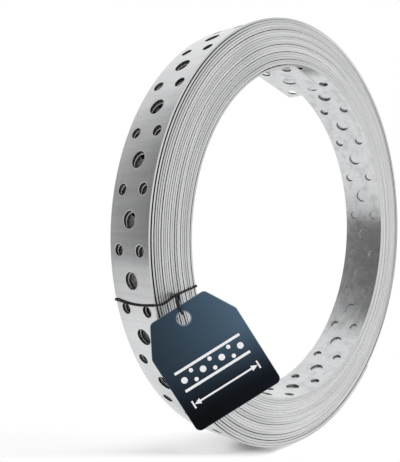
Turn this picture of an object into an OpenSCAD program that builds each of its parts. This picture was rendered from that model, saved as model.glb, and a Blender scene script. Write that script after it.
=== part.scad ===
// Coil of perforated steel strap, standing on its rim, tied with a cord that carries a hang tag.
// Millimetres. +Z is up, the tagged end of the coil faces -Y, and the origin is midway along the coil's axis.

/* [Strap] */
// Width of the strap
strap_w = 20; // [17:0.5:30]
// Thickness of the strap
strap_t = 0.75; // [0.5:0.05:1.2]
// Length of strap in the coil
strap_len = 10000; // [6000:250:16000]

/* [Coil] */
// Diameter of the open eye inside the coil
eye_d = 141; // [120:1:200]
// Slack between one turn and the next
turn_gap = 0.25; // [0.15:0.05:0.5]
// Depth to which the gaps between turns show on the ends
gap_depth = 2.5; // [1:0.5:4]
// Angle of the cut outer end of the strap, from the right over the top
outer_end_at = 307.9; // [307:0.1:308.5]

/* [Perforations] */
// Diameter of the single holes on the centre line
single_d = 6; // [4:0.5:7]
// Diameter of the paired holes
pair_d = 4; // [2.5:0.5:5]
// Distance between the centres of a pair
pair_spacing = 10.8; // [9:0.2:11.6]
// Distance from a single hole to the next pair along the strap
row_pitch = 10.3; // [9:0.1:12]
// Angle of the pair on the rim that comes to the top when the coil rests
top_pair_at = 88.6; // [87:0.1:90]
// Angle of the first row of holes inside the eye, behind the free inner end
inner_rows_at = 71.3; // [66:0.1:76]

/* [Free inner end] */
// Angle at which the inner end leaves the coil
flap_at = 95.5; // [92:0.1:100]
// Length of the straight inner end
flap_len = 25.5; // [22:0.5:30]
// Bend of the inner end away from the coil
flap_bend = 21.7; // [16:0.1:26]
// Distance from the cut end to its first row of holes
flap_first_row = 4.5; // [3:0.1:6]

/* [Tie cord] */
// Diameter of the cord
cord_d = 0.9; // [0.8:0.1:1.2]
// Looseness of the cord round the coil
cord_slack = 0.1; // [0.1:0.05:0.3]
// Angle of the cord round the coil
tie_at = 191.5; // [188:0.1:195]
// Diameter of the knot
knot_d = 2.2; // [1.8:0.1:2.4]

/* [Hang tag] */
// Width of the tag
tag_w = 32.6; // [28:0.2:38]
// Height of the tag
tag_h = 39; // [34:0.5:46]
// Thickness of the tag
tag_t = 0.8; // [0.4:0.1:0.9]
// Length of the short top edge
tag_top_w = 20.8; // [16:0.2:26]
// Drop from the top edge to the shoulders
tag_shoulder = 10.5; // [6:0.5:14]
// Corner radius of the tag
tag_corner_r = 2; // [1:0.25:3]
// Diameter of the hole in the tag
tag_hole_d = 4.4; // [4:0.2:5]
// Distance from the top edge to the centre of the hole
tag_hole_drop = 4.2; // [3.6:0.1:4.4]
// Turn of the tag away from the coil's front
tag_yaw = 44.8; // [40:0.1:48]
// Lean of the tag in its own plane
tag_lean = 30.9; // [20:0.1:40]

/* [Hidden] */

EPS = 0.5;
ROUND = 180;
SMALL_ROUND = 32;
CORNER_STEPS = 6;
BEND_STEPS = 3;
CORD_SIDES = 8;

steel = [0.72, 0.73, 0.74];
cord_black = [0.06, 0.06, 0.07];
tag_blue = [0.15, 0.19, 0.22];

// The turns: as many as the length of strap fills, each one pitch further out
turn_pitch = strap_t + turn_gap;
eye_r = eye_d / 2;
turns = round((sqrt(pow(eye_r, 2) + strap_len * turn_pitch / PI) - eye_r) / turn_pitch);
outer_r = eye_r + turns * turn_pitch - turn_gap;
front = strap_w / 2;
gap_floor = front - gap_depth;

// The rows: an odd number round the rim, so that a plain stretch between two rows lies opposite each row,
// and the coil rests on the stretch opposite the pair at its top
outer_rows = 2 * floor(PI * outer_r / row_pitch) + 1;
outer_step = 360 / outer_rows;
rest_roll = 90 - top_pair_at;
inner_step = row_pitch / eye_r * 180 / PI;
inner_rows = floor((360 - flap_at + inner_rows_at) / inner_step);
flap_rows = floor((flap_len - flap_first_row) / row_pitch) + 1;

// The cut outer end: a step into the last gap, then a flat until the turn below reaches the rim
end_step = turn_pitch - turn_gap / 2;
run_out = acos((outer_r - end_step) / outer_r);
end_land = 1;
end_margin = asin((single_d / 2 + end_land) / outer_r);
first_row = ceil((outer_end_at + run_out - 360 - top_pair_at) / outer_step);
last_row = floor((outer_end_at - end_margin - top_pair_at) / outer_step);

// The root of the free inner end is sunk into the middle of the first turn, a hair inside its edges
root_r = eye_r + strap_t / 2;
root_reach = 2 * strap_t;
root_inset = 0.05;
flap_w = strap_w - 2 * root_inset;

// The cord lies just off the strap, and turns round its edges
cord_r = cord_d / 2;
cord_lift = cord_r + cord_slack;
bend_ease = 0.15;
cord_bend = cord_lift + bend_ease;

// The tag rests on the front edge of the rim: its hole is placed from the edge under the tie
rim_point = [outer_r * cos(tie_at), outer_r * sin(tie_at), front];
tag_hole_offset = [6.9, -4.4, 6.4];
tag_hole_at = rim_point + tag_hole_offset;

// Route of the loop from the knot over the tag's top edge, through its hole and back behind it:
// right, up and out from the middle of the hole
loop_route = [
    [0.4, 1.4, 0], [0.4, 1.6, 0.7], [0.4, 2.3, 1.1], [0.5, 3.4, 1.2], [0.6, 4.6, 0.9],
    [0.8, 5.7, -0.2], [1.1, 6.5, -1.8], [1.4, 7.0, -3.5], [1.6, 7.2, -4.8], [1.8, 6.9, -5.6],
    [1.7, 6.2, -5.7], [1.5, 5.7, -4.9], [1.2, 5.2, -3.8], [0.9, 4.6, -2.7], [0.6, 3.5, -1.6],
    [0.4, 2.3, -1.1], [0.4, 1.6, -0.7]
];
knot_at = [1.6, 6.5, -5.3];

// One arm of the comb at an end: the turns stand proud of the gaps between them
function turn_points(i, tip, floor_z) = let (inside = eye_r + i * turn_pitch, outside = inside + strap_t)
    i == turns - 1
        ? [[inside, tip], [outside, tip]]
        : [[inside, tip], [outside, tip], [outside, floor_z], [outside + turn_gap, floor_z]];
function end_points(tip, floor_z) = [for (i = [0 : turns - 1]) each turn_points(i, tip, floor_z)];
function reversed(list) = [for (i = [len(list) - 1 : -1 : 0]) list[i]];

// Outline with each corner rounded to a radius
function unit(v) = v / norm(v);
function corner(before, at, after, r) = let (
        a = unit(before - at),
        b = unit(after - at),
        half = acos(a * b) / 2,
        centre = at + unit(a + b) * r / sin(half),
        from = at + a * r / tan(half),
        to = at + b * r / tan(half),
        start = atan2(from.y - centre.y, from.x - centre.x),
        sweep = (atan2(to.y - centre.y, to.x - centre.x) - start + 540) % 360 - 180
    ) [for (i = [0 : CORNER_STEPS]) let (t = start + sweep * i / CORNER_STEPS)
        centre + r * [cos(t), sin(t)]];
function rounded(points, r) = let (n = len(points))
    [for (i = [0 : n - 1]) each corner(points[(i + n - 1) % n], points[i], points[(i + 1) % n], r)];

// Tube along a closed route that stays near one plane: the rings keep one axis along the plane's normal
function wrap(i, n) = (i + n) % n;
function along(route, i) = let (n = len(route)) unit(route[wrap(i + 1, n)] - route[wrap(i - 1, n)]);
function ring(route, i, r, normal) = let (
        t = along(route, i),
        side = unit(cross(t, normal)),
        across = cross(side, t)
    ) [for (k = [0 : CORD_SIDES - 1]) let (a = 360 * k / CORD_SIDES)
        route[i] + r * (cos(a) * side + sin(a) * across)];

module tube(route, r, normal) {
    n = len(route);
    points = [for (i = [0 : n - 1]) each ring(route, i, r, normal)];
    faces = [for (i = [0 : n - 1]) for (k = [0 : CORD_SIDES - 1]) let (
            here = i * CORD_SIDES,
            there = wrap(i + 1, n) * CORD_SIDES,
            next = wrap(k + 1, CORD_SIDES)
        ) each [[here + k, here + next, there + next], [here + k, there + next, there + k]]];
    polyhedron(points, faces);
}

// Shapes below are drawn lying down, axis along Z and front end up, then rolled to rest and stood on the rim
module upright() {
    rotate([90, 0, 0]) rotate([0, 0, rest_roll]) children();
}

module wound_turns() {
    profile = concat(reversed(end_points(front, gap_floor)), end_points(-front, -gap_floor));
    rotate_extrude($fn = ROUND) polygon(profile);
}

// Round hole along +X, started clear of the face
module hole(d, depth) {
    translate([-EPS, 0, 0]) rotate([0, 90, 0]) cylinder(d = d, h = depth + EPS, $fn = SMALL_ROUND);
}

// One row of the pattern across the strap: a pair or a single hole
module row(is_pair, depth) {
    if (is_pair) {
        for (side = [-1, 1]) translate([0, 0, side * pair_spacing / 2]) hole(pair_d, depth);
    } else {
        hole(single_d, depth);
    }
}

module outer_perforations() {
    for (i = [first_row : last_row]) {
        rotate([0, 0, top_pair_at + i * outer_step]) translate([outer_r, 0, 0]) mirror([1, 0, 0])
            row(i % 2 == 0, turn_pitch);
    }
}

module inner_perforations() {
    for (i = [0 : inner_rows - 1]) {
        rotate([0, 0, inner_rows_at - i * inner_step]) translate([eye_r, 0, 0]) row(i % 2 == 0, turn_pitch);
    }
}

module outer_end_cut() {
    rotate([0, 0, outer_end_at]) translate([outer_r - end_step, 0, -front - EPS])
        cube([end_step + EPS, outer_r * sin(run_out) + EPS, strap_w + 2 * EPS]);
}

// Place of the free inner end: along -Y from the bend, its eye side on X = 0
module flap_place() {
    rotate([0, 0, flap_at]) translate([eye_r, 0, 0]) rotate([0, 0, -flap_bend]) children();
}

module flap_plate() {
    intersection() {
        flap_place() translate([0, -flap_len, -flap_w / 2]) cube([strap_t, flap_len + root_reach, flap_w]);
        translate([0, 0, -front]) cylinder(r = root_r, h = strap_w, $fn = ROUND);
    }
}

module flap_perforations() {
    flap_place() for (i = [0 : flap_rows - 1]) {
        translate([0, flap_first_row + i * row_pitch - flap_len, 0]) row(i % 2 == 0, turn_pitch);
    }
}

module strap_coil() {
    color(steel) upright() difference() {
        union() {
            wound_turns();
            flap_plate();
        }
        outer_perforations();
        inner_perforations();
        flap_perforations();
        outer_end_cut();
    }
}

// Route of the tie round the strap's four edges, in the plane of the radius and the axis
function tie_corner(r, z, start) = [for (i = [0 : BEND_STEPS]) let (a = start + 90 * i / BEND_STEPS)
    [r + cord_bend * cos(a), 0, z + cord_bend * sin(a)]];
function tie_route() = let (
        inside = eye_r - cord_lift + cord_bend,
        outside = outer_r + cord_lift - cord_bend,
        edge = front + cord_lift - cord_bend
    ) concat(
        tie_corner(outside, edge, 0), tie_corner(inside, edge, 90),
        tie_corner(inside, -edge, 180), tie_corner(outside, -edge, 270)
    );

module tag_place() {
    translate(tag_hole_at) rotate([0, -tag_yaw, 0]) rotate([0, 0, tag_lean]) children();
}

module tie_cord() {
    color(cord_black) upright() {
        rotate([0, 0, tie_at]) tube(tie_route(), cord_r, [0, 1, 0]);
        tag_place() {
            tube(loop_route, cord_r, [1, 0, 0]);
            translate(knot_at) sphere(d = knot_d, $fn = SMALL_ROUND);
        }
    }
}

module hang_tag() {
    bottom = tag_hole_drop - tag_h;
    shoulder = tag_hole_drop - tag_shoulder;
    outline = [
        [-tag_w / 2, bottom], [tag_w / 2, bottom], [tag_w / 2, shoulder],
        [tag_top_w / 2, tag_hole_drop], [-tag_top_w / 2, tag_hole_drop], [-tag_w / 2, shoulder]
    ];
    color(tag_blue) upright() tag_place() translate([0, 0, -tag_t / 2]) difference() {
        linear_extrude(tag_t) polygon(rounded(outline, tag_corner_r));
        translate([0, 0, -EPS]) cylinder(d = tag_hole_d, h = tag_t + 2 * EPS, $fn = SMALL_ROUND);
    }
}

strap_coil();
tie_cord();
hang_tag();
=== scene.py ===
"""Coil of perforated steel strap, standing on its rim, tied with a cord that carries a hang tag."""

import math
import random

import bpy
import numpy as np
from mathutils import Matrix, Vector
from mathutils.geometry import delaunay_2d_cdt


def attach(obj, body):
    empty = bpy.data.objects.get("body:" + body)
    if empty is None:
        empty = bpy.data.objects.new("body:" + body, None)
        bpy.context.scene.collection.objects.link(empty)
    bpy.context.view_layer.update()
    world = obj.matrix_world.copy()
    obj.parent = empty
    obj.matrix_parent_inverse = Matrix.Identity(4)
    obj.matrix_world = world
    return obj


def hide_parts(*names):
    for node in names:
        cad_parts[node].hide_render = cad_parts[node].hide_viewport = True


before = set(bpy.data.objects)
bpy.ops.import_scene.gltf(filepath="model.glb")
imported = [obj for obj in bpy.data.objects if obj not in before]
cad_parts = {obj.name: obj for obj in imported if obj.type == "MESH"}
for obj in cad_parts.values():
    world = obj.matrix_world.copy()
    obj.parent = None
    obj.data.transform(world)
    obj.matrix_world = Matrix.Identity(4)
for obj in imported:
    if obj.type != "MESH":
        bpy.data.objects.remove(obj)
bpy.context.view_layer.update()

MM = 0.001
scene = bpy.context.scene
scene.view_settings.view_transform = "Standard"

# Sizes shared with the solids, in millimetres and degrees; angles run from the right over the top
STRAP_W, STRAP_T, TURN_PITCH = 20.0, 0.75, 1.0
HALF_W = STRAP_W / 2
EYE_R, OUTER_R = 70.5, 90.25
FLAP_AT, FLAP_LEN, FLAP_BEND = 95.5, 25.5, 21.7
FLAP_ROWS, FLAP_FIRST_ROW = 3, 4.5
ROW_PITCH, PAIR_OFFSET = 10.3, 5.4
SINGLE_R, PAIR_R = 3.0, 2.0
OUTER_ROWS, TOP_PAIR_AT = 55, 88.6
OUTER_STEP = 360 / OUTER_ROWS
REST_ROLL = TOP_PAIR_AT - 90
INNER_ROWS, INNER_AT = 40, 71.3
INNER_STEP = math.degrees(ROW_PITCH / EYE_R)
TIE_AT = 191.5
TAG_W, TAG_H, TAG_T = 32.6, 39.0, 0.8
TAG_TOP_W, TAG_SHOULDER, TAG_CORNER_R = 20.8, 10.5, 2.0
TAG_HOLE_R, TAG_HOLE_DROP = 2.2, 4.2
TAG_YAW, TAG_LEAN = 44.8, 30.9


# Camera

CAMERA_AT = (-210.0, -148.2, 16.65)
CAMERA_AHEAD, CAMERA_RIGHT = (0.7195, 0.6921, -0.0583), (0.6921, -0.7214, -0.0229)
LENS, SENSOR_W, CLIP_START = 51.298, 36.0, 0.01


def place_camera():
    """Camera at the photograph's angle, found by fitting the coil's rims, holes and tag."""
    data = bpy.data.cameras.new("camera")
    data.sensor_fit = "HORIZONTAL"
    data.sensor_width, data.lens, data.clip_start = SENSOR_W, LENS, CLIP_START
    cam = bpy.data.objects.new("camera", data)
    ahead = Vector(CAMERA_AHEAD).normalized()
    right = Vector(CAMERA_RIGHT)
    right = (right - ahead * right.dot(ahead)).normalized()
    turn = Matrix((right, right.cross(ahead), -ahead)).transposed().to_4x4()
    # the part is rolled from the fit's frame to bring a pair to the top, and the camera turns with it
    rolled = Matrix.Rotation(math.radians(REST_ROLL), 4, "Y")
    cam.matrix_world = rolled @ Matrix.Translation(Vector(CAMERA_AT) * MM) @ turn
    scene.collection.objects.link(cam)
    scene.camera = cam


# Node helpers

def wire(tree, kind, inputs=None, **props):
    """Adds a shader node; each input is a plain value or another node's output."""
    node = tree.nodes.new("ShaderNode" + kind)
    for key, value in props.items():
        setattr(node, key, value)
    for key, value in (inputs or {}).items():
        if isinstance(value, bpy.types.NodeSocket):
            tree.links.new(value, node.inputs[key])
        else:
            node.inputs[key].default_value = value
    return node


def new_material(name):
    mat = bpy.data.materials.new(name)
    mat.use_nodes = True
    mat.node_tree.nodes.clear()
    return mat, mat.node_tree


def finish_material(mat, shader):
    wire(mat.node_tree, "OutputMaterial", {"Surface": shader.outputs[0]})
    return mat


def attribute(tree, name, output="Fac"):
    """A value that the mesh carries at its points, or a vector."""
    return wire(tree, "Attribute", attribute_name=name).outputs[output]


def maths(tree, operation, a, b=0.0):
    return wire(tree, "Math", {0: a, 1: b}, operation=operation).outputs[0]


def product(tree, first, *others):
    for other in others:
        first = maths(tree, "MULTIPLY", first, other)
    return first


def greatest(tree, first, *others):
    for other in others:
        first = maths(tree, "MAXIMUM", first, other)
    return first


def opposite(tree, share):
    """What is left of one."""
    return maths(tree, "SUBTRACT", 1.0, share)


def vector_maths(tree, operation, a, b=(0.0, 0.0, 0.0)):
    return wire(tree, "VectorMath", {0: a, 1: b}, operation=operation).outputs


def flat_length(tree, vector):
    """Length of a vector without its third part."""
    flat = vector_maths(tree, "MULTIPLY", vector, (1.0, 1.0, 0.0))[0]
    return vector_maths(tree, "LENGTH", flat)["Value"]


def ramp(tree, value, low, high, to_low=0.0, to_high=1.0):
    """Maps a value between two limits, with soft ends."""
    limits = {0: value, 1: low, 2: high, 3: to_low, 4: to_high}
    return wire(tree, "MapRange", limits, interpolation_type="SMOOTHSTEP").outputs[0]


def window(tree, value, low, full, fading, high):
    """1 between two limits, with soft ends outside them."""
    return product(tree, ramp(tree, value, low, full), ramp(tree, value, fading, high, 1.0, 0.0))


def noise(tree, vector, scale, detail=2.0, rough=0.5):
    """Noise of a vector that is first scaled on each axis."""
    scaled = vector_maths(tree, "MULTIPLY", vector, scale)[0]
    inputs = {"Vector": scaled, "Scale": 1.0, "Detail": detail, "Roughness": rough}
    return wire(tree, "TexNoise", inputs).outputs["Fac"]


def mix_colour(tree, factor, a, b):
    return wire(tree, "Mix", {0: factor, 6: a, 7: b}, data_type="RGBA").outputs[2]


def bump(tree, height, depth, below=None, strength=1.0):
    """Normals of a bump, on top of another bump's where they are given."""
    inputs = {"Height": height, "Strength": strength, "Distance": depth}
    if below is not None:
        inputs["Normal"] = below
    return wire(tree, "Bump", inputs).outputs[0]


def table(tree, value, stops):
    """Grey by a table of (value, level), with straight runs between."""
    low, high = stops[0][0], stops[-1][0]
    share = wire(tree, "MapRange", {0: value, 1: low, 2: high}).outputs[0]
    node = wire(tree, "ValToRGB", {0: share})
    marks = node.color_ramp.elements
    for at, _ in stops[1:-1]:
        marks.new((at - low) / (high - low))
    for mark, (_, level) in zip(marks, stops):
        mark.color = (level, level, level, 1)
    return node.outputs[0]


# Mesh helpers

WELD = 1e-7


def circle(count):
    """Points round a circle of radius 1."""
    turn = [2 * math.pi * k / count for k in range(count)]
    return [(math.cos(t), math.sin(t)) for t in turn]


def band(upper, lower):
    """Faces between two closed rings of as many points."""
    n = len(upper)
    return [(upper[k], upper[(k + 1) % n], lower[(k + 1) % n], lower[k]) for k in range(n)]


def fill(spots, loops, holes):
    """Triangles between closed loops of flat points, except in holes, given as (u, v, radius)."""
    edges = [(loop[i], loop[(i + 1) % len(loop)]) for loop in loops for i in range(len(loop))]
    result = delaunay_2d_cdt([Vector(p) for p in spots], edges, [], 0, WELD)
    triangles, origins = result[2], result[3]
    for triangle in triangles:
        corners = [origins[k][0] for k in triangle]
        u, v = [sum(spots[k][axis] for k in corners) / 3 for axis in (0, 1)]
        if not any(math.hypot(u - hole_u, v - hole_v) < radius for hole_u, hole_v, radius in holes):
            yield corners


def new_object(name, points, faces):
    mesh = bpy.data.meshes.new(name)
    mesh.from_pydata([tuple(p) for p in points], [], faces)
    mesh.update()
    obj = bpy.data.objects.new(name, mesh)
    scene.collection.objects.link(obj)
    return obj


def set_points(mesh, name, values):
    """Gives every point of a mesh a value or a vector."""
    values = np.array(values, dtype=np.float32)
    kind, key = ("FLOAT", "value") if values.ndim == 1 else ("FLOAT_VECTOR", "vector")
    mesh.attributes.new(name, kind, "POINT").data.foreach_set(key, values.ravel())


# Steel

# values at the strap's points: cut edge, hole wall, rim of a hole, under a turn, dull from that
POINT_VALUES = ("sheared", "bore", "lip", "covered", "dulled")

# noise: scale along, across and through the strap, detail, roughness; then the limits that show it
STREAK, STREAK_SHOWS = ((0.012, 2.6, 9.0), 3.0, 0.6), (0.3, 0.75)
CROSS, CROSS_SHOWS = ((0.5, 0.02, 0.5), 5.0, 0.7), (0.42, 0.72, 0.0, 0.8)
CLOUD, CLOUD_SHOWS = ((0.045, 0.11, 0.3), 2.0), (0.45, 0.85, 0.0, 0.35)
STAIN, STAIN_SHOWS = ((0.16, 0.22, 0.1), 3.0, 0.6), (0.45, 0.68, 0.0, 0.75)
DRIFT, DRIFT_SHOWS = ((0.011, 0.02, 0.02), 3.0, 0.6), (0.35, 0.65)
GRAIN, GRAIN_ROUGH = ((0.35, 5.0, 16.0), 2.0, 0.6), (0.25, 0.8, 0.17, 0.27)
KNOCK = ((0.10, 0.17, 0.3), 2.0)
# depths in metres
KNOCK_DEPTH, DENT_DEPTH, LINE_DEPTH = 1.4e-4, 2.5e-5, 2.0e-6

FACE_DARK, FACE_LIGHT = (0.645, 0.65, 0.66, 1), (0.73, 0.735, 0.74, 1)
FACE_CROSSED, FACE_CLOUDED = (0.59, 0.595, 0.605, 1), (0.60, 0.605, 0.62, 1)
FACE_STAINED = (0.50, 0.505, 0.51, 1)
EDGE_DARK, EDGE_LIGHT = (0.54, 0.545, 0.55, 1), (0.69, 0.69, 0.69, 1)
# the second colour on the next line paints the hole walls past the first turn near black, as shade inside
# the holes
WALL_FIRST, WALL_PAINTED_SHADE = (0.50, 0.50, 0.505, 1), (0.012, 0.012, 0.0125, 1)
# the second colour on the next line is painted shade where the turns cover each other; its share stands
# first on the line after
ZINC_DULL, PAINTED_SHADE_DARK = (0.76, 0.76, 0.76, 1), (0.12, 0.12, 0.12, 1)
PAINTED_SHADE_SHARE, MIDDLE_DULL, DULL_SHARE, CUT_ROUGH = 0.88, 0.3, 0.8, 0.16

# places in degrees wound from the bend, in turns before the outer end and in millimetres across
FIRST_TURN_ENDS = (355, 380)
# places of painted shade round the root of the free end and on the second turn, by the flap
PAINTED_SHADE_AT_START, PAINTED_SHADE_ON_SECOND = (-3, 0, 16, 28), (335, 342, 376, 388)
OUTER_FROM, OUTER_FULL = 4.5, 2.3
BY_EDGE = (HALF_W - 2.5, HALF_W - 1.5)


def along_strap(angle):
    """Length of strap from the bend."""
    return math.radians(angle) * (BEND_R + TURN_PITCH * max(angle, 0) / 720)


def strip_face(tree, strap, streak, cloud, on_first):
    """Colour of the rolled face: streaks, faint cross lines and clouds, with stains on the first turn."""
    face = mix_colour(tree, ramp(tree, streak, *STREAK_SHOWS), FACE_DARK, FACE_LIGHT)
    crossed = ramp(tree, noise(tree, strap, *CROSS), *CROSS_SHOWS)
    face = mix_colour(tree, crossed, face, FACE_CROSSED)
    face = mix_colour(tree, ramp(tree, cloud, *CLOUD_SHOWS), face, FACE_CLOUDED)
    stained = ramp(tree, noise(tree, strap, *STAIN), *STAIN_SHOWS)
    return mix_colour(tree, product(tree, stained, on_first), face, FACE_STAINED)


def between_turns(tree, along, across, bore, lip, covered, dulled):
    """Shares of dull zinc and of dark painted shade on what the turns cover."""
    starts, full = [along_strap(STRAP_END - turns * 360) for turns in (OUTER_FROM, OUTER_FULL)]
    outer = ramp(tree, along, starts, full)
    by_edge = ramp(tree, across, *BY_EDGE)
    # painted shade lies by the edges under the outer turns and round the root of the free end
    at_start = window(tree, along, *map(along_strap, PAINTED_SHADE_AT_START))
    on_second = window(tree, along, *map(along_strap, PAINTED_SHADE_ON_SECOND))
    painted_shade_at = greatest(tree, product(tree, outer, by_edge), at_start, on_second)
    painted_shade = product(tree, covered, painted_shade_at, PAINTED_SHADE_SHARE)
    # the zinc is dull by the edges, on the rims of the holes and a little where holes show it
    off_edge, off_wall = opposite(tree, by_edge), opposite(tree, bore)
    middle = product(tree, covered, outer, off_edge, off_wall, MIDDLE_DULL)
    return greatest(tree, product(tree, dulled, by_edge), middle, lip), painted_shade


def steel_material():
    """Rolled zinc-coated strip: streaks along its length, soft dents, sheared edges and hole walls, with
    painted shade in the holes past the first turn and between the turns.
    """
    mat, tree = new_material("galvanised_steel")
    strap = attribute(tree, "strap", "Vector")
    sheared, bore, lip, covered, dulled = [attribute(tree, name) for name in POINT_VALUES]
    place = wire(tree, "SeparateXYZ", {0: strap}).outputs
    streak, cloud = noise(tree, strap, *STREAK), noise(tree, strap, *CLOUD)
    past_first = ramp(tree, place[0], *map(along_strap, FIRST_TURN_ENDS))
    on_first = opposite(tree, past_first)

    face = strip_face(tree, strap, streak, cloud, on_first)
    drift = ramp(tree, noise(tree, strap, *DRIFT), *DRIFT_SHOWS)
    edge = mix_colour(tree, drift, EDGE_DARK, EDGE_LIGHT)
    # hole walls past the first turn take the painted shade
    wall = mix_colour(tree, past_first, WALL_FIRST, WALL_PAINTED_SHADE)
    colour = mix_colour(tree, sheared, face, edge)
    colour = mix_colour(tree, bore, colour, wall)
    across = maths(tree, "ABSOLUTE", place[1])
    dull, painted_shade = between_turns(tree, place[0], across, bore, lip, covered, dulled)
    colour = mix_colour(tree, dull, colour, ZINC_DULL)
    # painted shade where the turns cover each other
    colour = mix_colour(tree, painted_shade, colour, PAINTED_SHADE_DARK)
    # walls past the first turn lose their shine, so their painted shade stays dark
    unpolished = greatest(tree, product(tree, dull, DULL_SHARE), product(tree, bore, past_first))

    face_rough = ramp(tree, noise(tree, strap, *GRAIN), *GRAIN_ROUGH)
    cut_rough = product(tree, greatest(tree, sheared, bore), CUT_ROUGH)
    knocks = bump(tree, noise(tree, strap, *KNOCK), product(tree, on_first, KNOCK_DEPTH))
    dents = bump(tree, cloud, DENT_DEPTH, knocks)
    shader = wire(tree, "BsdfPrincipled", {
        "Base Color": colour, "Metallic": opposite(tree, unpolished),
        "Roughness": maths(tree, "ADD", face_rough, cut_rough),
        "Normal": bump(tree, streak, LINE_DEPTH, dents)})
    return finish_material(mat, shader)


# The strap: how it is wound from the bend of its free end

ROWS_PAST_TOP, WHOLE_TURNS = 33, 19
BEND_AT = FLAP_AT - REST_ROLL
STRAP_END = TOP_PAIR_AT + (ROWS_PAST_TOP + 0.5) * OUTER_STEP - FLAP_AT + WHOLE_TURNS * 360
LAST_LAYER, CUT_AT = int(STRAP_END // 360), STRAP_END % 360
# where the first turn steps out over the free end, and how far the rim runs back in after the outer end
JOG_FROM, RUN_OUT = 300.0, 40.0
BEND_HALF, BEND_STEPS = 1.2, 12
BEND_R = EYE_R + STRAP_T / 2

# looseness of the turns: least share, swing of the waves and the limits that show it
SLACK, SLACK_SWING, SLACK_SHOWS = 0.20, 0.24, (0.6, 2.0)
# looser places: first and last layer, share, and between which angles on the turn
LOOSE_PLACES = [
    (0, 0, 0.5, (-1, 0, 12, 24)),
    (9, 9, 0.22, (50, 75, 112, 135)),
    (LAST_LAYER - 7, LAST_LAYER - 1, 0.10, (20, 70, 110, 150)),
    (LAST_LAYER - 1, LAST_LAYER - 1, 0.45, (0, 60, 110, 150)),
    (LAST_LAYER - 2, LAST_LAYER - 2, 0.35, (235, 265, 310, 350)),
    (LAST_LAYER - 2, LAST_LAYER - 2, 0.20, (0, 60, 110, 150))]

STRAY_FROM, STRAY_LOSS = (0, 40), 0.6
FLUSH_TOP_FROM, FLUSH_TOP_TO, FLUSH_FOOT = (300, 335), (14, 36), (118, 142, 200, 230)
FLUSH_WOUND = (0, 20, STRAP_END - 380, STRAP_END - 360)

# waves as (rate, start, size)
rng = random.Random(11)
SLACK_WAVES = [(rng.uniform(0.18, 0.5), rng.uniform(0, 6.28), 1.0) for _ in range(3)]
SLACK_WAVES += [(rng.uniform(0.8, 1.6), rng.uniform(0, 6.28), 0.35) for _ in range(2)]
AXIAL_WAVES = [(rng.uniform(0.3, 2.3), rng.uniform(0, 6.28), 0.045) for _ in range(7)]


def smooth(low, high, x):
    t = min(max((x - low) / (high - low), 0.0), 1.0)
    return t * t * (3 - 2 * t)


def spread(low, full, fading, high, x):
    """1 between two limits, with soft ends outside them."""
    return smooth(low, full, x) * (1 - smooth(fading, high, x))


def waves(parts, angle):
    turn = math.radians(angle)
    return sum(size * math.sin(rate * turn + start) for rate, start, size in parts)


def slack(layer, on_turn):
    """How loosely the turn above lies at this place, as a share: most turns are tight, a few stand off."""
    loose = SLACK + SLACK_SWING * smooth(*SLACK_SHOWS, waves(SLACK_WAVES, on_turn + 360 * layer))
    for first, last, share, place in LOOSE_PLACES:
        if first <= layer <= last:
            loose += share * spread(*place, on_turn)
    return loose


def first_face(on_turn):
    """Radius of the first turn's inner face: it steps out over the root of the free end after one turn."""
    share = slack(0, 0) / sum(slack(j, 0) for j in range(LAST_LAYER))
    room = OUTER_R - EYE_R - STRAP_T * (LAST_LAYER + 1)
    return EYE_R + (STRAP_T + room * share) * smooth(JOG_FROM, 360, on_turn)


def gaps(on_turn):
    """Gaps between the turns at one place round the coil, which fill the room between eye and rim."""
    loose = [slack(j, on_turn) for j in range(LAST_LAYER)]
    room = OUTER_R - first_face(on_turn) - STRAP_T * LAST_LAYER
    under_end = (room - STRAP_T) / sum(loose)
    past_end = room / sum(loose[:-1])
    scale = under_end + (past_end - under_end) * smooth(CUT_AT, CUT_AT + RUN_OUT, on_turn)
    return [scale * value for value in loose]


def inner_face(angle):
    """Radius of the strap's inner face, by the angle wound from the bend."""
    layer = int(angle // 360)
    on_turn = angle - 360 * layer
    return first_face(on_turn) + STRAP_T * layer + sum(gaps(on_turn)[:layer])


def axial(angle):
    """Sideways stray of the strap in the coil, none at the bend and less on the outer turn."""
    held = 1 - STRAY_LOSS * smooth(STRAP_END - 360, STRAP_END, angle)
    return waves(AXIAL_WAVES, angle) * smooth(*STRAY_FROM, angle) * held


def flush(angle):
    """1 where the burr of the slitting closes the gaps at the edges: at the top and the foot."""
    on_turn = angle % 360
    top = max(smooth(*FLUSH_TOP_FROM, on_turn), 1 - smooth(*FLUSH_TOP_TO, on_turn))
    return max(top, spread(*FLUSH_FOOT, on_turn)) * spread(*FLUSH_WOUND, angle)


def strap_frame(angle):
    """Point on the strap's inner face in the plane of the coil, and the heading along the strap there."""
    bend_end = math.degrees(BEND_HALF / BEND_R)
    if angle >= bend_end:
        a = math.radians(BEND_AT + angle)
        r = inner_face(angle)
        return (r * math.cos(a), r * math.sin(a)), a + math.pi / 2
    x, z = strap_frame(bend_end)[0]
    bent = math.radians(BEND_AT + 90 - FLAP_BEND)
    wound = math.radians(BEND_AT + 90 + bend_end)
    here = max(math.radians(angle) * BEND_R, -BEND_HALF)
    span = (BEND_HALF - here) / BEND_STEPS
    for i in range(BEND_STEPS):
        s = BEND_HALF - span * (i + 0.5)
        heading = bent + (wound - bent) * (s + BEND_HALF) / (2 * BEND_HALF)
        x -= span * math.cos(heading)
        z -= span * math.sin(heading)
    straight = -BEND_HALF - math.radians(angle) * BEND_R
    if straight > 0:
        heading = bent
        x -= straight * math.cos(bent)
        z -= straight * math.sin(bent)
    return (x, z), heading


# The strap: its mesh

EDGE, BURR = 0.08, 0.10
INSET = HALF_W - EDGE
FACE_TILT, EDGE_TILT = 0.03, 0.12
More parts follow.
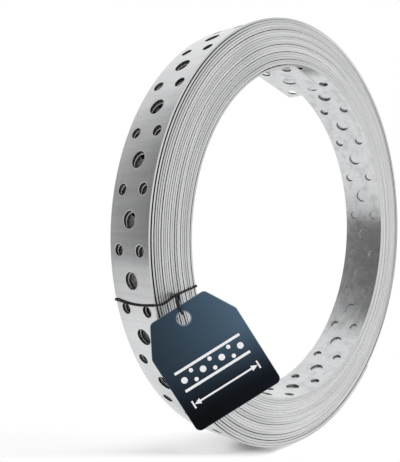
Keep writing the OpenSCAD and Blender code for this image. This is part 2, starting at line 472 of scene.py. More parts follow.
# rims of the holes as (wider by, depth), where they are seen close and elsewhere
FINE_RIM = [(0.34, 0.0), (0.14, 0.035), (0.03, 0.13), (0.0, 0.68), (0.06, 0.75)]
PLAIN_RIM = [(0.50, 0.0), (0.20, 0.03), (0.0, 0.14), (0.0, 0.68), (0.06, 0.75)]
FINE_SEGMENTS, PLAIN_SEGMENTS = {"single": 36, "pair": 26}, {"single": 24, "pair": 16}
HOLES = {"single": [(0.0, SINGLE_R)], "pair": [(PAIR_OFFSET, PAIR_R), (-PAIR_OFFSET, PAIR_R)]}
# how much more a rim's normals lean in at each step down, and their upward part before they lean
RIM_LEAN, RIM_UP = 0.35, 1.001
HOLE_SHARE = 0.99
ROW_CELLS, PLAIN_STEP = 4, 2.2

# where inner faces start to be covered, and where light gets in between the turns on the left
COVERED_FROM = (340, 350)
BRIGHT_SHARE, BRIGHT_AT = 0.75, (22, 75, 98, 128)

# rows that go on over the root of the free end; creep of each outer turn in degrees and lead in rows
ROWS_ON_SECOND = 3
OUTER_TURNS = [(0.0, 0.0), (1.1, 0.0), (0.7, 0.62)]


class StrapMesh:
    """Collects the vertices of the strap with their normals and material coordinates."""

    def __init__(self):
        self.points, self.normals, self.strap, self.faces = [], [], [], []
        self.values = {name: [] for name in POINT_VALUES}
        self.caps, self.frames = {}, {}

    def frame(self, angle):
        key = round(angle, 6)
        if key not in self.frames:
            self.frames[key] = strap_frame(angle) + (axial(angle),)
        return self.frames[key]

    def add(self, angle, w, n, normal, sheared, bore=0.0, lip=0.0):
        """A vertex at an angle along the strap, w across it to the front and n out from its inner face."""
        (x, z), heading, stray = self.frame(angle)
        along = (math.cos(heading), math.sin(heading))
        out = (math.sin(heading), -math.cos(heading))
        self.points.append(((x + n * out[0]) * MM, -(w + stray) * MM, (z + n * out[1]) * MM))
        s, across, up = normal
        vector = (s * along[0] + up * out[0], -across, s * along[1] + up * out[1])
        size = math.sqrt(sum(v * v for v in vector))
        self.normals.append(tuple(v / size for v in vector))
        self.strap.append((along_strap(angle), w, n))
        under = float(angle < STRAP_END - 360) if n > STRAP_T / 2 else smooth(*COVERED_FROM, angle)
        covered = under * (1 - sheared)
        dulled = covered * (1 - BRIGHT_SHARE * spread(*BRIGHT_AT, angle % 360))
        for name, value in zip(POINT_VALUES, (sheared, bore, lip, covered, dulled)):
            self.values[name].append(value)
        return len(self.points) - 1

    def station(self, angle):
        """The eight corners of the strap's section, from the front edge of the outer face round."""
        burr = flush(angle)
        low, high = EDGE * (1 - burr), STRAP_T - EDGE + (EDGE + BURR) * burr
        front = [(INSET, STRAP_T, (0, FACE_TILT, 1), 0), (HALF_W, high, (0, 1, EDGE_TILT), 1),
                 (HALF_W, low, (0, 1, -EDGE_TILT), 1), (INSET, 0, (0, FACE_TILT, -1), 0)]
        back = [(-w, n, (0, -across, up), sheared) for w, n, (_, across, up), sheared in reversed(front)]
        return [self.add(angle, *corner) for corner in front + back]

    def sides(self, a, b):
        for k in (0, 1, 2, 4, 5, 6):
            self.faces.append((a[k], a[k + 1], b[k + 1], b[k]))

    def plain(self, a, b):
        """A stretch of strap without holes between two stations."""
        self.sides(a, b)
        self.faces.append((a[7], a[0], b[0], b[7]))
        self.faces.append((a[3], a[4], b[4], b[3]))

    def hole(self, centre, r_here, across, radius, rim, segments):
        """Rings of vertices through one hole, from the outer face to the inner one, with its wall."""
        last = len(rim) - 1
        flat, rings = {0: (0, 0, 1), last: (0, 0, -1)}, []
        for j, (wider, depth) in enumerate(rim):
            lean = min(1.0, depth / rim[-2][1] + RIM_LEAN * j)
            ring = []
            for c, s in circle(segments):
                normal = flat.get(j, (-c * lean, -s * lean, RIM_UP - lean))
                angle = centre + math.degrees((radius + wider) * c / r_here)
                ring.append(self.add(angle, across + (radius + wider) * s, STRAP_T - depth, normal,
                                     0.0, float(1 < j < last), float(j == 1)))
            rings.append(ring)
        for upper, lower in zip(rings, rings[1:]):
            self.faces += band(upper, lower)
        return rings

    def holed(self, stations, angles, centre, holes, rim, segments):
        """A stretch of strap with round holes, given as (across, radius)."""
        for a, b in zip(stations, stations[1:]):
            self.sides(a, b)
        r_here = BEND_R + TURN_PITCH * max(centre, 0) / 360
        walls = [self.hole(centre, r_here, *hole, rim, segments) for hole in holes]
        flat = [math.radians(a - centre) * r_here for a in angles]
        for front, back, step, flip in ((0, 7, 0, False), (3, 4, -1, True)):
            ids = [st[front] for st in stations] + [st[back] for st in reversed(stations)]
            spots = [(s, INSET) for s in flat] + [(s, -INSET) for s in reversed(flat)]
            loops, open_at = [range(len(ids))], []
            for (across, radius), rings in zip(holes, walls):
                wide = radius + rim[step][0]
                loops.append(range(len(ids), len(ids) + segments))
                spots += [(wide * c, across + wide * s) for c, s in circle(segments)]
                ids += rings[step]
                open_at.append((0.0, across, wide * HOLE_SHARE))
            for corners in fill(spots, loops, open_at):
                face = tuple(ids[k] for k in corners)
                self.faces.append(face[::-1] if flip else face)

    def perforated(self, rows, station):
        """Rows of holes from one station on; gives the last station."""
        for start, centre, end, kind, close in rows:
            angles = [start + (end - start) * i / ROW_CELLS for i in range(ROW_CELLS + 1)]
            stations = [station] + [self.station(a) for a in angles[1:]]
            rim, segments = (FINE_RIM, FINE_SEGMENTS) if close else (PLAIN_RIM, PLAIN_SEGMENTS)
            self.holed(stations, angles, centre, HOLES[kind], rim, segments[kind])
            station = stations[-1]
        return station

    def cap(self, station, angle, sign):
        """Closes an end of the strap, with its normal along the strap."""
        heading = self.frame(angle)[1]
        self.caps[len(self.faces)] = (sign * math.cos(heading), 0.0, sign * math.sin(heading))
        self.faces.append(tuple(station))

    def build(self, name):
        obj = new_object(name, self.points, self.faces)
        mesh = obj.data
        # every face is turned to look the way its vertices' normals do
        normals = np.array(self.normals)
        for poly in mesh.polygons:
            if poly.index in self.caps:
                continue
            lean = normals[list(poly.vertices)].sum(axis=0)
            if lean.dot(np.array(poly.normal)) < 0:
                poly.flip()
        mesh.update()
        loop_normals = [None] * len(mesh.loops)
        for poly in mesh.polygons:
            poly.use_smooth = True
            for i in poly.loop_indices:
                own = self.normals[mesh.loops[i].vertex_index]
                loop_normals[i] = self.caps.get(poly.index, own)
        mesh.normals_split_custom_set(loop_normals)
        set_points(mesh, "strap", self.strap)
        for key, values in self.values.items():
            set_points(mesh, key, values)
        return obj


def strap_rows():
    """Rows of holes of the inner and the outer turns: (start, centre, end, kind, is it close)."""
    kinds = ("single", "pair")
    inner = []
    tip = math.degrees(-FLAP_LEN / BEND_R)
    first = math.degrees((FLAP_FIRST_ROW - FLAP_LEN) / BEND_R)
    step = math.degrees(ROW_PITCH / BEND_R)
    inner_first = INNER_AT - FLAP_AT + 360 - (INNER_ROWS - 1) * INNER_STEP
    for i in range(FLAP_ROWS):
        centre = first + i * step
        start = tip if i == 0 else centre - step / 2
        end = centre + step / 2 if i < FLAP_ROWS - 1 else inner_first - INNER_STEP / 2
        inner.append((start, centre, end, kinds[(i + 1) % 2], True))
    for i in range(INNER_ROWS + ROWS_ON_SECOND):
        centre = inner_first + i * INNER_STEP
        inner.append((centre - INNER_STEP / 2, centre, centre + INNER_STEP / 2, kinds[i % 2], True))
    # the outer turns, laid back from the outer end
    outer = []
    end = STRAP_END
    for turn, (creep, lead) in enumerate(OUTER_TURNS):
        step = (360 - creep) / OUTER_ROWS
        for i in range(OUTER_ROWS):
            shift = lead * step if i == 0 else 0.0
            outer.append((end - shift - step, end - shift - step / 2, end, kinds[i % 2], turn == 0))
            end -= shift + step
    return inner, outer[::-1]


def make_strap():
    build = StrapMesh()
    inner, outer = strap_rows()
    strap_from, plain_from, plain_to = inner[0][0], inner[-1][2], outer[0][0]
    first = build.station(strap_from)
    station = build.perforated(inner, first)
    # the turns between are covered, and their holes don't show
    count = round((plain_to - plain_from) / PLAIN_STEP)
    for i in range(1, count + 1):
        following = build.station(plain_from + (plain_to - plain_from) * i / count)
        build.plain(station, following)
        station = following
    last = build.perforated(outer, station)
    build.cap(first, strap_from, -1)
    build.cap(last[::-1], STRAP_END, 1)
    strap = build.build("strap")
    strap.data.materials.append(steel_material())
    return strap


# Places on the standing part

TIE_ROLL, TAG_HOLE_OFF = math.radians(TIE_AT), Vector((6.9, -4.4, 6.4))
RIM_POINT = Vector((OUTER_R * math.cos(TIE_ROLL), OUTER_R * math.sin(TIE_ROLL), HALF_W))
TAG_HOLE = RIM_POINT + TAG_HOLE_OFF
TAG_TURN = (Matrix.Rotation(math.radians(-TAG_YAW), 3, "Y")
            @ Matrix.Rotation(math.radians(TAG_LEAN), 3, "Z"))


def upright(p):
    """From the lying frame of the solids, front up, to the part at rest on its rim, in metres."""
    c, s = math.cos(math.radians(REST_ROLL)), math.sin(math.radians(REST_ROLL))
    return Vector((p[0] * c + p[1] * s, -p[2], p[1] * c - p[0] * s)) * MM


def on_tag(p):
    """From the tag's own frame, right, up and out from its hole, to the standing part."""
    return upright(TAG_HOLE + TAG_TURN @ Vector(p))


# Tie cord

# two plies: their distance from the middle and their radius, as shares of the cord's radius
PLY_OFFSET, PLY_R, PLY_SIDES = 0.32, 0.70, 8
CORD_STEP, SPLINE_CUTS = 0.22, 16
# coordinates of the fibres: a step round the ply and a spread between the plies
FIBRE_STEP, FIBRE_SPREAD = 0.35, 97
CORD_R, LOOP_R, CORD_LAY, LOOP_PHASE = 0.33, 0.42, 2.3, 0.8
CORD_LIFT, CORD_NEAR, CORD_BEND = 0.56, 0.37, 1.25
BEND_CUTS, DIP_RATE = 4, 8
# sag of each run of the tie, as share of the run and millimetres: front end, eye, back end, outer face
TIE_SAG = [
    [(0.04, 0.35), (0.12, 0.7), (0.25, 0.6), (0.44, 0.0), (0.7, -0.1), (0.95, 0.0)],
    [(0.1, 0.0), (0.5, 0.3), (0.9, 0.0)],
    [(0.05, 0.0), (0.5, 0.2), (0.95, 0.0)],
    [(0.06, 0.15), (0.3, 0.65), (0.5, 0.8), (0.7, 0.65), (0.94, 0.15)]]
# the way into the strap on each run, as radius and axis
TIE_INTO = [(0, -1), (1, 0), (0, 1), (-1, 0)]
LOOP_ROUTE = [
    (0.4, 1.4, 0), (0.4, 1.6, 0.7), (0.4, 2.3, 1.1), (0.5, 3.4, 1.2), (0.6, 4.6, 0.9),
    (0.8, 5.7, -0.2), (1.1, 6.5, -1.8), (1.4, 7.0, -3.5), (1.6, 7.2, -4.8), (1.8, 6.9, -5.6),
    (1.7, 6.2, -5.7), (1.5, 5.7, -4.9), (1.2, 5.2, -3.8), (0.9, 4.6, -2.7), (0.6, 3.5, -1.6),
    (0.4, 2.3, -1.1), (0.4, 1.6, -0.7)]
KNOT_AT, KNOT_SIZE, KNOT_DEPTH = (1.6, 6.5, -5.3), 0.24, 1.4
KNOT_STRAND_R, KNOT_LAY, KNOT_POINTS = 0.36, 1.9, 30

FIBRE, FIBRE_SHOWS = ((3.0, 9.0, 1.0), 2.0, 0.6), (0.3, 0.8)
WEAR, WEAR_SHOWS = ((0.35, 0.6, 1.0), 2.0), (0.55, 0.8, 0.0, 0.5)
CORD_DARK, CORD_LIGHT = (0.006, 0.006, 0.007, 1), (0.022, 0.022, 0.024, 1)
CORD_WORN = (0.035, 0.035, 0.037, 1)
CORD_ROUGH, CORD_SHINE, FIBRE_DEPTH, FIBRE_STRENGTH = 0.62, 0.25, 4.0e-5, 0.6


def cord_material():
    """Black twisted cord with fine fibres along each strand."""
    mat, tree = new_material("black_cord")
    place = attribute(tree, "strand", "Vector")
    fibre = noise(tree, place, *FIBRE)
    colour = mix_colour(tree, ramp(tree, fibre, *FIBRE_SHOWS), CORD_DARK, CORD_LIGHT)
    worn = ramp(tree, noise(tree, place, *WEAR), *WEAR_SHOWS)
    shader = wire(tree, "BsdfPrincipled", {
        "Base Color": mix_colour(tree, worn, colour, CORD_WORN), "Roughness": CORD_ROUGH,
        "Specular IOR Level": CORD_SHINE,
        "Normal": bump(tree, fibre, FIBRE_DEPTH, strength=FIBRE_STRENGTH)})
    return finish_material(mat, shader)


def spline(points, step):
    """Points at an even step along a smooth closed curve through the given ones."""
    n = len(points)
    fine = []
    for i in range(n):
        a, b, c, d = [points[(i + k) % n] for k in (-1, 0, 1, 2)]
        for j in range(SPLINE_CUTS):
            t = j / SPLINE_CUTS
            fine.append(0.5 * ((2 * b) + (c - a) * t + (2 * a - 5 * b + 4 * c - d) * t ** 2
                               + (3 * b - a - 3 * c + d) * t ** 3))
    fine.append(points[0])
    lengths = [0.0]
    for a, b in zip(fine, fine[1:]):
        lengths.append(lengths[-1] + (b - a).length)
    count = round(lengths[-1] / step)
    out, j = [], 0
    for i in range(count):
        goal = lengths[-1] * i / count
        while lengths[j + 1] < goal:
            j += 1
        t = (goal - lengths[j]) / (lengths[j + 1] - lengths[j])
        out.append(fine[j].lerp(fine[j + 1], t))
    return out


def frames_along(route):
    """Two directions across a closed route at each point, which turn as little as they can."""
    n = len(route)
    across, frames = None, []
    for i in range(n):
        ahead = (route[(i + 1) % n] - route[i - 1]).normalized()
        if across is None:
            across = ahead.orthogonal()
        across = (across - ahead * across.dot(ahead)).normalized()
        frames.append((across, ahead.cross(across)))
    return frames


class Tubes:
    """Collects swept strands with a coordinate along and round each one."""

    def __init__(self):
        self.points, self.faces, self.strand = [], [], []

    def sweep(self, route, radius):
        """A tube along a closed route."""
        base = len(self.points)
        run, rings = 0.0, []
        for i, (across, side) in enumerate(frames_along(route)):
            if i:
                run += (route[i] - route[i - 1]).length / MM
            rings.append(range(len(self.points), len(self.points) + PLY_SIDES))
            for k, (c, s) in enumerate(circle(PLY_SIDES)):
                self.points.append(route[i] + radius * (c * across + s * side))
                self.strand.append((run, k * FIBRE_STEP, base % FIBRE_SPREAD))
        for here, there in zip(rings, rings[1:] + rings[:1]):
            self.faces += band(here, there)

    def twisted(self, points, cord_r, lay, phase=0.0):
        """Two strands laid round each other along a closed route through some points."""
        route = spline(points, CORD_STEP * MM)
        n = len(route)
        turns = round(sum((route[i] - route[i - 1]).length for i in range(n)) / lay)
        frames = frames_along(route)
        # what the frame has turned by after one lap is taken up by the lay
        first, (last_across, last_side) = frames[0][0], frames[-1]
        drift = math.atan2(first.dot(last_side), first.dot(last_across))
        for strand in (0, 1):
            path = []
            for i, (across, side) in enumerate(frames):
                a = phase + math.pi * strand + (2 * math.pi * turns + drift) * i / n
                path.append(route[i] + cord_r * PLY_OFFSET * (math.cos(a) * across + math.sin(a) * side))
            self.sweep(path, cord_r * PLY_R)

    def build(self, name, material):
        obj = new_object(name, self.points, self.faces)
        for poly in obj.data.polygons:
            poly.use_smooth = True
        set_points(obj.data, "strand", self.strand)
        obj.data.materials.append(material)
        return obj


def tie_route():
    """Round the strap's four edges, in the plane of the radius and the axis."""
    inside, outside = EYE_R - CORD_LIFT + CORD_BEND, OUTER_R + CORD_LIFT - CORD_BEND
    edge = HALF_W + CORD_LIFT - CORD_BEND
    corners = []
    for i, (r, z) in enumerate(((outside, edge), (inside, edge), (inside, -edge), (outside, -edge))):
        turn = [math.radians(90 * i + 90 * k / BEND_CUTS) for k in range(BEND_CUTS + 1)]
        corners.append([(r + CORD_BEND * math.cos(t), z + CORD_BEND * math.sin(t)) for t in turn])
    # each run dips onto the strap between its corners and sags a little along the rim
    route = []
    for corner, following, sags, into in zip(corners, corners[1:] + corners[:1], TIE_SAG, TIE_INTO):
        route += [(r, z, 0.0) for r, z in corner]
        (r0, z0), (r1, z1) = corner[-1], following[0]
        for t, sag in sags:
            dip = (CORD_LIFT - CORD_NEAR) * min(1.0, DIP_RATE * t, DIP_RATE * (1 - t))
            route.append((r0 + (r1 - r0) * t + dip * into[0], z0 + (z1 - z0) * t + dip * into[1], sag))
    turned = [(r, TIE_ROLL + sag / r, z) for r, z, sag in route]
    return [upright((r * math.cos(at), r * math.sin(at), z)) for r, at, z in turned]


def knot_route():
    """A small closed overhand knot."""
    route = []
    for i in range(KNOT_POINTS):
        t = 2 * math.pi * i / KNOT_POINTS
        x = math.sin(t) + 2 * math.sin(2 * t)
        y = math.cos(t) - 2 * math.cos(2 * t)
        z = -KNOT_DEPTH * math.sin(3 * t)
        route.append(on_tag(Vector(KNOT_AT) + KNOT_SIZE * Vector((x, y, z))))
    return route


def make_cord():
    tubes = Tubes()
    tubes.twisted(tie_route(), CORD_R * MM, CORD_LAY * MM)
    tubes.twisted([on_tag(p) for p in LOOP_ROUTE], LOOP_R * MM, CORD_LAY * MM, LOOP_PHASE)
    tubes.twisted(knot_route(), KNOT_STRAND_R * MM, KNOT_LAY * MM)
    return tubes.build("cord", cord_material())


# Hang tag

TAG_EDGE, TAG_HALF_T = 0.2, TAG_T / 2
CORNER_CUTS, HOLE_SEGMENTS, HOLE_EDGE = 8, 40, 1.6
# bow of the card in millimetres, at so far along it and across it
BOW_ALONG, BOW_ALONG_AT, BOW_ACROSS, BOW_ACROSS_AT = 0.35, 34, 0.12, 16
GRID_STEP, GRID_COLUMNS, GRID_ROWS = 2.1, range(-7, 8), range(-16, 2)
GRID_MARGIN, GRID_TOP_MARGIN, GRID_TAPER = 1.2, 1.0, 0.62

# the print, in millimetres from the hole
INK_RISE, INK_ROOT, INK_PIECE, DOT_SEGMENTS = 0.012, 0.03, 2.5, 24
STRIP_HALF, STRIP_EDGES, STRIP_AT = 12.5, [(-14.6, -13.7), (-21.3, -20.4)], -17.5
STRIP_ROWS, STRIP_FIRST, STRIP_STEP = 7, -10.8, 3.6
DOT_R, PAIR_DOT_R, PAIR_DOT_OFFSET = 1.1, 0.72, 1.75
LINE_AT, LINE_THICK, LINE_HALF = -26.0, 0.3, 10.4
STOP_HALF, STOP_THICK = 1.4, 0.28
TIP_AT, TIP_FROM, TIP_HALF = 12.1, 9.9, 1.0

PAPER, PAPER_ROUGH = ((3.5, 3.5, 1.0), 3.0, 0.6), (0.2, 0.8, 0.34, 0.5)
PAPER_DEPTH, PAPER_STRENGTH, CARD_SHINE = 1.5e-5, 0.5, 0.05
FADE_AT, FADE_GRAIN, SIDE_RATE = (-31.0, -9.0), 1.2, 0.038
CARD_FOOT, CARD_TOP = (0.0028, 0.0040, 0.0070, 1), (0.043, 0.074, 0.107, 1)
# the first colour on the next line is a painted highlight along the card's cut edges
CARD_EDGE_HIGHLIGHT, EDGE_HIGHLIGHT_SHARE = (0.26, 0.32, 0.37, 1), 0.9
CARD_RING, RING_SHARE = (0.36, 0.44, 0.50, 1), 0.35
RING_AT = (TAG_HOLE_R - 0.1, TAG_HOLE_R, TAG_HOLE_R + 0.35, TAG_HOLE_R + 0.5)
THIN, THIN_SHOWS = ((2.2, 2.2, 1.0), 3.0, 0.65), (0.5, 0.85, 0.0, 0.5)
INK_WHITE, INK_THIN = (0.95, 0.95, 0.95, 1), (0.78, 0.79, 0.80, 1)
INK_ROUGH, INK_SHINE = 0.45, 0.2


def card_material():
    """Dark card under the print: slate at the top fading to near black, lighter towards its right, fine
    paper grain, cut edges painted pale as a highlight.
    """
    mat, tree = new_material("dark_card")
    place = attribute(tree, "tag", "Vector")
    axes = wire(tree, "SeparateXYZ", {0: place}).outputs
    grain = noise(tree, place, *PAPER)
    height = maths(tree, "ADD", axes[1], product(tree, grain, FADE_GRAIN))
    colour = mix_colour(tree, ramp(tree, height, *FADE_AT), CARD_FOOT, CARD_TOP)
    lighter = maths(tree, "EXPONENT", product(tree, axes[0], SIDE_RATE))
    colour = wire(tree, "VectorMath", {0: colour, "Scale": lighter}, operation="SCALE").outputs[0]
    # painted highlight on the cut edges
    colour = mix_colour(tree, product(tree, attribute(tree, "cut"), EDGE_HIGHLIGHT_SHARE), colour, CARD_EDGE_HIGHLIGHT)
    ring = window(tree, flat_length(tree, place), *RING_AT)
    colour = mix_colour(tree, product(tree, ring, RING_SHARE), colour, CARD_RING)
    shader = wire(tree, "BsdfPrincipled", {
        "Base Color": colour, "Roughness": ramp(tree, grain, *PAPER_ROUGH),
        "Specular IOR Level": CARD_SHINE,
        "Normal": bump(tree, grain, PAPER_DEPTH, strength=PAPER_STRENGTH)})
    return finish_material(mat, shader)


def ink_material():
    """White ink, a little thin in places."""
    mat, tree = new_material("white_ink")
    thin = ramp(tree, noise(tree, attribute(tree, "tag", "Vector"), *THIN), *THIN_SHOWS)
    shader = wire(tree, "BsdfPrincipled", {
        "Base Color": mix_colour(tree, thin, INK_WHITE, INK_THIN), "Roughness": INK_ROUGH,
        "Specular IOR Level": INK_SHINE})
    return finish_material(mat, shader)


def rounded_outline(inset):
    """Outline of the tag with rounded corners, moved in by an inset."""
    bottom, shoulder = TAG_HOLE_DROP - TAG_H, TAG_HOLE_DROP - TAG_SHOULDER
    sharp = [(-TAG_W / 2, bottom), (TAG_W / 2, bottom), (TAG_W / 2, shoulder),
             (TAG_TOP_W / 2, TAG_HOLE_DROP), (-TAG_TOP_W / 2, TAG_HOLE_DROP), (-TAG_W / 2, shoulder)]
    sharp = [Vector(p) for p in sharp]
    out = []
    for i, at in enumerate(sharp):
        a = (sharp[i - 1] - at).normalized()
        b = (sharp[(i + 1) % len(sharp)] - at).normalized()
        half = math.acos(a.dot(b)) / 2
        centre = at + (a + b).normalized() * TAG_CORNER_R / math.sin(half)
        start, end = at + a * TAG_CORNER_R / math.tan(half), at + b * TAG_CORNER_R / math.tan(half)
        t0 = math.atan2(*(start - centre).yx)
        sweep = (math.atan2(*(end - centre).yx) - t0 + 3 * math.pi) % (2 * math.pi) - math.pi
        for k in range(CORNER_CUTS + 1):
            t = t0 + sweep * k / CORNER_CUTS
            out.append(centre + (TAG_CORNER_R - inset) * Vector((math.cos(t), math.sin(t))))
    return out


def tag_bow(u, v):
    """Slight bow of the card, none at the hole."""
    return BOW_ALONG * (v / BOW_ALONG_AT) ** 2 - BOW_ACROSS * (u / BOW_ACROSS_AT) ** 2


def tag_grid():
    """A loose grid of places inside the outline and outside the hole."""
    taper_from = TAG_HOLE_DROP - TAG_SHOULDER - GRID_TOP_MARGIN
    low, high = TAG_HOLE_DROP - TAG_H + GRID_MARGIN, TAG_HOLE_DROP - GRID_TOP_MARGIN
    for column in GRID_COLUMNS:
        for row in GRID_ROWS:
            u, v = column * GRID_STEP, row * GRID_STEP
            limit = TAG_W / 2 - GRID_MARGIN - max(v - taper_from, 0.0) * GRID_TAPER
            if abs(u) < limit and low < v < high and math.hypot(u, v) > TAG_HOLE_R + GRID_MARGIN:
                yield u, v


class TagMesh:
    """Collects the card and its print, in the tag's own frame."""

    CARD, INK = 0, 1

    def __init__(self):
        self.points, self.places, self.cut, self.faces, self.slots = [], [], [], [], []

    def put(self, u, v, n, is_cut=0.0):
        self.points.append(on_tag((u, v, n + tag_bow(u, v))))
        self.places.append((u, v, n))
        self.cut.append(is_cut)
        return len(self.points) - 1

    def add_faces(self, faces, slot):
        self.faces += faces
        self.slots += [slot] * len(faces)

    def card(self):
        """The card with its bevelled outline and hole."""
        bevel = [(TAG_EDGE, TAG_HALF_T, 0.0), (0.0, TAG_HALF_T - TAG_EDGE, 1.0),
                 (0.0, TAG_EDGE - TAG_HALF_T, 1.0), (TAG_EDGE, -TAG_HALF_T, 0.0)]
        rims = []
        for inset, n, is_cut in bevel:
            outline = [self.put(p.x, p.y, n, is_cut) for p in rounded_outline(inset)]
            wide = TAG_HOLE_R + inset * HOLE_EDGE
            hole = [self.put(wide * c, wide * s, n, is_cut) for c, s in circle(HOLE_SEGMENTS)]
            rims.append((outline, hole))
        for (outline, hole), (next_outline, next_hole) in zip(rims, rims[1:]):
            self.add_faces(band(next_outline, outline) + band(hole, next_hole), self.CARD)
        self.side(*rims[0], TAG_HALF_T, False)
        self.side(*rims[-1], -TAG_HALF_T, True)

    def side(self, outline, hole, n, flip):
        """One face of the card, with a grid of inner points, so the bow is smooth."""
        loops = [range(len(outline)), range(len(outline), len(outline) + len(hole))]
        ids = outline + hole + [self.put(u, v, n) for u, v in tag_grid()]
        spots = [self.places[k][:2] for k in ids]
        triangles = fill(spots, loops, [(0.0, 0.0, TAG_HOLE_R)])
        faces = [tuple(ids[k] for k in corners) for corners in triangles]
        self.add_faces([face[::-1] if flip else face for face in faces], self.CARD)

    def ink(self, shape):
        """A flat shape of ink, closed down into the card."""
        ring = [self.put(u, v, TAG_HALF_T + INK_RISE) for u, v in shape]
        root = [self.put(u, v, TAG_HALF_T - INK_ROOT) for u, v in shape]
        self.add_faces([tuple(ring)] + band(root, ring) + [tuple(root[::-1])], self.INK)

    def bar(self, u0, v0, u1, v1):
        """A bar of ink, in short pieces that follow the bow."""
        pieces = max(round((u1 - u0) / INK_PIECE), 1)
        for k in range(pieces):
            a, b = u0 + (u1 - u0) * k / pieces, u0 + (u1 - u0) * (k + 1) / pieces
            self.ink([(a, v0), (b, v0), (b, v1), (a, v1)])

    def dot(self, u, v, r):
        self.ink([(u + r * c, v + r * s) for c, s in circle(DOT_SEGMENTS)])

    def pictogram(self):
        """A plain drawing of a strip with its holes, and a measure line under it."""
        for low, high in STRIP_EDGES:
            self.bar(-STRIP_HALF, low, STRIP_HALF, high)
        for i in range(STRIP_ROWS):
            u = STRIP_FIRST + STRIP_STEP * i
            if i % 2:
                self.dot(u, STRIP_AT + PAIR_DOT_OFFSET, PAIR_DOT_R)
                self.dot(u, STRIP_AT - PAIR_DOT_OFFSET, PAIR_DOT_R)
            else:
                self.dot(u, STRIP_AT, DOT_R)
        self.bar(-LINE_HALF, LINE_AT - LINE_THICK, LINE_HALF, LINE_AT + LINE_THICK)
        for side in (-1, 1):
            stop = side * STRIP_HALF
            self.bar(stop - STOP_THICK, LINE_AT - STOP_HALF, stop + STOP_THICK, LINE_AT + STOP_HALF)
            tip = [(side * TIP_AT, LINE_AT), (side * TIP_FROM, LINE_AT + TIP_HALF),
                   (side * TIP_FROM, LINE_AT - TIP_HALF)]
            self.ink(tip if side < 0 else tip[::-1])

    def build(self, name):
        obj = new_object(name, self.points, self.faces)
        mesh = obj.data
        mesh.materials.append(card_material())
        mesh.materials.append(ink_material())
        mesh.polygons.foreach_set("material_index", self.slots)
        set_points(mesh, "tag", self.places)
        set_points(mesh, "cut", self.cut)
        return obj


def make_tag():
    build = TagMesh()
    build.card()
    build.pictogram()
    return build.build("tag")


# Stage, in metres

WHITE = (1, 1, 1, 1)
FLOOR, FLOOR_HALF, FLOOR_GREY = -OUTER_R * MM, 4.0, (0.97, 0.97, 0.97, 1)
# the shadow: its middle, the way to the camera, its line before the part and how it fades
SHADOW_AT, TO_CAMERA = (-0.022, 0.003, 0.0), (-0.72, -0.69, 0.0)
SHADOW_DEPTH, SHADOW_FADE = 0.0115, (0.005, 0.016)
# the grey card at the back left: the ways to it and along it, place, size and slant of its greys
CARD_AWAY, CARD_ALONG = Vector((-0.72, 0.69, 0)).normalized(), Vector((0.69, 0.72, 0)).normalized()
CARD_AT, CARD_FROM, CARD_TO, CARD_H = 0.52, -0.45, 0.95, 1.4
CARD_SLANT, CARD_MID, MAT_LIFT = 0.12, 0.35, 0.0005
# share of white by distance from the shadow's middle, and greys along the card and along the mat
FLOOR_LEVELS = [(0.0, 0.0), (0.005, 0.05), (0.012, 0.42), (0.02, 0.53), (0.03, 0.50),
                (0.042, 0.25), (0.06, 0.15), (0.08, 0.25), (0.15, 1.0)]
CARD_LEVELS = [(-0.45, 0.20), (-0.10, 0.17), (-0.06, 0.215), (-0.03, 0.275), (0.0, 0.33),
               (0.04, 0.365), (0.08, 0.51), (0.13, 0.60), (0.18, 0.71), (0.24, 0.81),
               (0.30, 0.86), (0.40, 0.91), (0.60, 1.0)]
MAT_LEVELS = [(0.10, 1.0), (0.15, 0.98), (0.22, 0.81), (0.27, 0.78), (0.345, 0.74), (0.52, 0.66)]
SKY_LIGHT = (0.62, 0.62, 0.63, 1)
LAMP_W, LAMP_H, LAMP_POWER = 0.5, 0.4, 6.4
LAMP_AT, LAMP_AIM = Vector((0.42, -0.45, FLOOR + 0.55)), Vector((0, 0, FLOOR + 0.08))


def stage_plane(name, corners, material):
    obj = new_object(name, corners, [tuple(range(len(corners)))])
    obj.data.materials.append(material)
    return obj


def position(tree):
    return wire(tree, "NewGeometry").outputs["Position"]


def glow(tree, colour):
    return wire(tree, "Emission", {"Color": colour, "Strength": 1.0})


def seen_directly(tree):
    """1 for rays from the camera, reflections and glass, 0 for light that is only gathered."""
    path = wire(tree, "LightPath").outputs
    return greatest(tree, path["Is Camera Ray"], path["Is Glossy Ray"], path["Is Transmission Ray"])


def make_floor():
    """Pale floor that holds the shadow near the part and goes over to white further off."""
    mat, tree = new_material("floor")
    where = position(tree)
    reach = flat_length(tree, vector_maths(tree, "SUBTRACT", where, SHADOW_AT)[0])
    before = vector_maths(tree, "DOT_PRODUCT", where, TO_CAMERA)["Value"]
    beside = maths(tree, "ABSOLUTE", maths(tree, "SUBTRACT", before, SHADOW_DEPTH))
    share = greatest(tree, table(tree, reach, FLOOR_LEVELS), ramp(tree, beside, *SHADOW_FADE))
    white = product(tree, share, seen_directly(tree))
    near = wire(tree, "BsdfDiffuse", {"Color": FLOOR_GREY})
    far = glow(tree, WHITE)
    both = wire(tree, "MixShader", {0: white, 1: near.outputs[0], 2: far.outputs[0]})
    finish_material(mat, both)
    corners = ((-1, -1), (1, -1), (1, 1), (-1, 1))
    stage_plane("floor", [(x * FLOOR_HALF, y * FLOOR_HALF, FLOOR) for x, y in corners], mat)


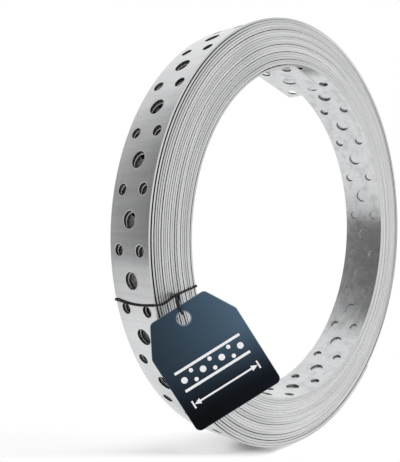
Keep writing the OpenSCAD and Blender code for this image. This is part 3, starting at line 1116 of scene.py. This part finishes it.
def grey_sheet(name, direction, offset, levels, corners):
    """A glowing sheet that only reflections show, with greys in one direction."""
    mat, tree = new_material(name)
    place = vector_maths(tree, "DOT_PRODUCT", position(tree), tuple(direction))["Value"]
    finish_material(mat, glow(tree, table(tree, maths(tree, "ADD", place, offset), levels)))
    sheet = stage_plane(name, corners, mat)
    sheet.visible_camera = sheet.visible_diffuse = sheet.visible_shadow = False


def make_sheets():
    """A grey card and a mat before it, off camera, that the polished faces mirror."""
    ground, lift, rise = Vector((0, 0, FLOOR)), Vector((0, 0, MAT_LIFT)), Vector((0, 0, CARD_H))
    left, right = CARD_ALONG * CARD_FROM, CARD_ALONG * CARD_TO
    foot = CARD_AWAY * CARD_AT + ground
    near, far = CARD_AWAY * MAT_LEVELS[0][0] + ground + lift, foot + lift
    slanted = CARD_ALONG - CARD_SLANT * Vector((0, 0, 1))
    grey_sheet("grey_card", slanted, CARD_SLANT * (FLOOR + CARD_MID), CARD_LEVELS,
               [foot + left, foot + right, foot + right + rise, foot + left + rise])
    grey_sheet("grey_mat", CARD_AWAY, 0.0, MAT_LEVELS,
               [near + left, near + right, far + right, far + left])


def make_light():
    """White surroundings that give less light than they show, and a lamp at the front right."""
    world = bpy.data.worlds.new("studio")
    scene.world = world
    world.use_nodes = True
    tree = world.node_tree
    tree.nodes.clear()
    colour = mix_colour(tree, seen_directly(tree), SKY_LIGHT, WHITE)
    sky = wire(tree, "Background", {"Color": colour, "Strength": 1.0})
    wire(tree, "OutputWorld", {"Surface": sky.outputs[0]})

    lamp = bpy.data.lights.new("softbox", "AREA")
    lamp.shape = "RECTANGLE"
    lamp.size, lamp.size_y, lamp.energy = LAMP_W, LAMP_H, LAMP_POWER
    box = bpy.data.objects.new("softbox", lamp)
    box.location = LAMP_AT
    box.rotation_euler = (LAMP_AIM - LAMP_AT).to_track_quat("-Z", "Y").to_euler()
    box.visible_glossy = False
    scene.collection.objects.link(box)


place_camera()
strap = make_strap()
cord = make_cord()
tag = make_tag()
for piece, node, slot in ((strap, "strap_coil", "galvanised_steel"), (cord, "tie_cord", "black_cord"),
                          (tag, "hang_tag", "dark_card")):
    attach(piece, "root")
    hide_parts(node)
make_floor()
make_sheets()
make_light()
